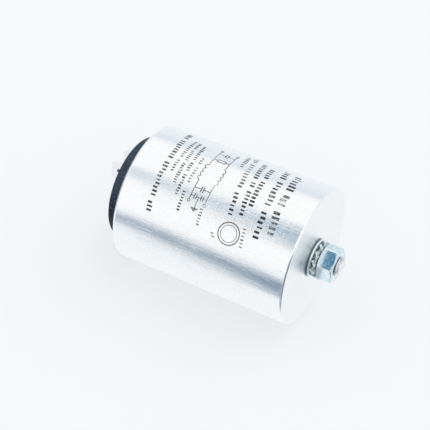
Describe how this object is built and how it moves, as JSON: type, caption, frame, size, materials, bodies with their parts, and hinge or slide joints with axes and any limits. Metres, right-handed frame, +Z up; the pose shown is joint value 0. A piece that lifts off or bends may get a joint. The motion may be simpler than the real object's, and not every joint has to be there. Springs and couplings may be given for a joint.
{
  "type": "emi line filter",
  "caption": "Round-can mains EMI filter: aluminium can with a nutted base stud, black cap with push-on blades, choke and capacitors inside.",
  "frame": {"origin": "centre of the can's base face, on the stud's axis, where the base seats on the chassis", "axes": "+X out along the stud, away from the can; +Z up as the part lies in the picture; the two rows of blades are turned 8 degrees about X from Z"},
  "size_m": [0.078, 0.043, 0.043],
  "materials": {
    "can_aluminium": "satin, fine drawn lines along the can",
    "zinc_plate": "bright bluish zinc plate",
    "dark_zinc": "darker zinc plate on spring steel",
    "cap_black": "matt moulded",
    "seal_rubber": "matt",
    "blade_tin": "tinned, satin",
    "sleeve_plastic": "moulded, satin",
    "board_laminate": "paper laminate",
    "ferrite": "matt, sintered",
    "divider_card": "matt",
    "enamelled_wire": "glossy enamel over copper",
    "film_capacitor_case": "satin moulded box",
    "lead_wire": "tinned",
    "disc_capacitor_coat": "dipped, glossy",
    "resistor_coat": "lacquered",
    "earth_sleeving": "smooth sleeving",
    "solder": "bright"
  },
  "bodies": {
    "root": {"can": "can_aluminium", "stud": "zinc_plate", "flat_washer": "zinc_plate", "tooth_washer": "dark_zinc", "hex_nut": "zinc_plate", "terminal_cap": "cap_black", "seal_ring": "seal_rubber", "blade_line_in": "blade_tin", "blade_neutral_in": "blade_tin", "blade_line_out": "blade_tin", "blade_neutral_out": "blade_tin", "insulating_sleeve": "sleeve_plastic", "circuit_board": "board_laminate", "toroid_core": "ferrite", "core_divider": "divider_card", "winding_line": "enamelled_wire", "winding_neutral": "enamelled_wire", "x_capacitor": "film_capacitor_case", "x_capacitor_leads": "lead_wire", "y_capacitor_a": "disc_capacitor_coat", "y_capacitor_b": "disc_capacitor_coat", "y_capacitor_leads": "lead_wire", "bleed_resistor": "resistor_coat", "resistor_leads": "lead_wire", "earth_lug": "blade_tin", "earth_wire": "earth_sleeving", "solder_joints": "solder"}
  },
  "joints": []
}
